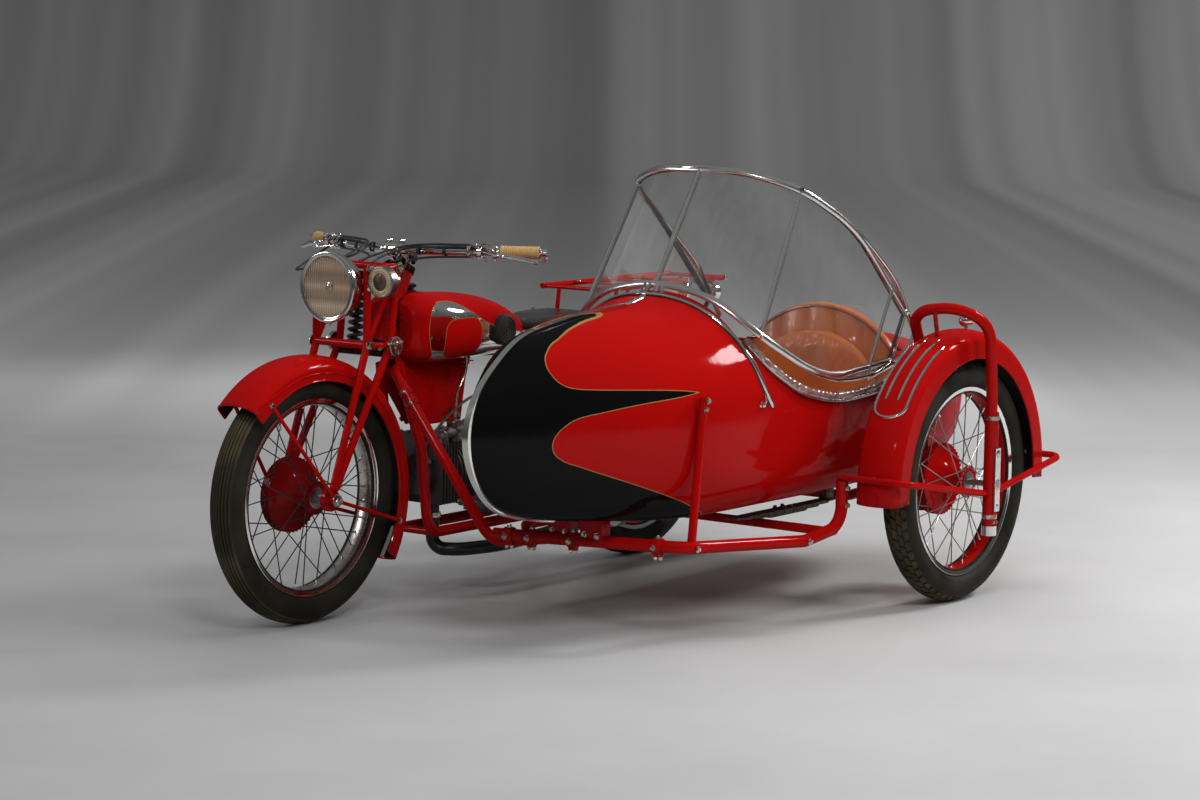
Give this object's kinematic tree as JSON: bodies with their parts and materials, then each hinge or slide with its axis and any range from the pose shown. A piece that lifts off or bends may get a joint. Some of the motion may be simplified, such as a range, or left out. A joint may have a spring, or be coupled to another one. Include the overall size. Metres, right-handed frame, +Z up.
{
  "type": "sidecar motorcycle",
  "caption": "Early motorcycle with girder fork and horizontal engine, joined to a torpedo-shaped sidecar with a framed windscreen and a mudguarded wire wheel.",
  "frame": {"origin": "on the floor, under the middle of the outfit's bounding box", "axes": "+X forward along the motorcycle, +Y to its left, the sidecar side, +Z up"},
  "size_m": [2.315, 1.6451, 1.1705],
  "materials": {
    "red_paint": "gloss",
    "body_paint": "gloss",
    "guard_paint": "gloss",
    "tank_paint": "gloss",
    "black_paint": "gloss",
    "chrome": "polished",
    "wheel_metal": "polished",
    "case_alloy": "as cast",
    "black_iron": "as cast",
    "steel": "satin",
    "tyre": "matt",
    "rubber": "matt",
    "grip": "satin",
    "black_leather": "satin",
    "red_leather": "satin",
    "glass": "clear",
    "lens": "fluted"
  },
  "bodies": {
    "outfit": {"frame": "red_paint", "rear_axle": "steel", "crankcase": "case_alloy", "cylinder": "black_iron", "cylinder_head": "black_iron", "flywheel": "steel", "magneto": "black_paint", "fuel_tank": "tank_paint", "filler_cap": "chrome", "saddle": "black_leather", "saddle_springs": "steel", "rear_mudguard": "guard_paint", "luggage_rack": "red_paint", "rear_lamps": "chrome", "drive_chain": "steel", "chain_guard": "black_paint", "exhaust_pipe": "chrome", "silencer": "chrome", "carburettor": "case_alloy", "footrests": "rubber", "knee_pads": "rubber", "sidecar_body": "body_paint", "cockpit_roll": "red_leather", "seat_box": "black_paint", "seat_cushion": "red_leather", "seat_back": "red_leather", "nose_strip": "chrome", "windscreen_frame": "chrome", "windscreen_glass": "glass", "sidecar_chassis": "red_paint", "leaf_springs": "black_paint", "sidecar_mudguard": "guard_paint", "wheel_strut": "red_paint", "sidecar_axle": "steel", "strut_fittings": "chrome", "guard_lamp": "chrome"},
    "steering": {"girder_fork": "red_paint", "front_axle": "steel", "fork_links": "black_paint", "fork_spring": "black_paint", "front_mudguard": "guard_paint", "handlebar": "chrome", "grips": "grip", "headlamp": "chrome", "headlamp_lens": "lens", "horn": "chrome"},
    "front_roller": {"front_tyre": "tyre", "front_wheel": "wheel_metal"},
    "rear_roller": {"rear_tyre": "tyre", "rear_wheel": "wheel_metal"},
    "sidecar_roller": {"sidecar_tyre": "tyre", "sidecar_wheel": "wheel_metal"}
  },
  "joints": [
    {"name": "steering_turn", "type": "hinge", "parent": "outfit", "child": "steering", "pos_m": [0.8955, -0.421, 0], "axis": [-0.454, 0, 0.891], "range_deg": [-35, 35]},
    {"name": "front_wheel_spin", "type": "hinge", "parent": "steering", "child": "front_roller", "pos_m": [0.8305, -0.421, 0.327], "axis": [0, 1, 0], "continuous": true},
    {"name": "rear_wheel_spin", "type": "hinge", "parent": "outfit", "child": "rear_roller", "pos_m": [-0.5975, -0.421, 0.327], "axis": [0, 1, 0], "continuous": true},
    {"name": "sidecar_wheel_spin", "type": "hinge", "parent": "outfit", "child": "sidecar_roller", "pos_m": [-0.5475, 0.686, 0.327], "axis": [0, 1, 0], "continuous": true}
  ]
}
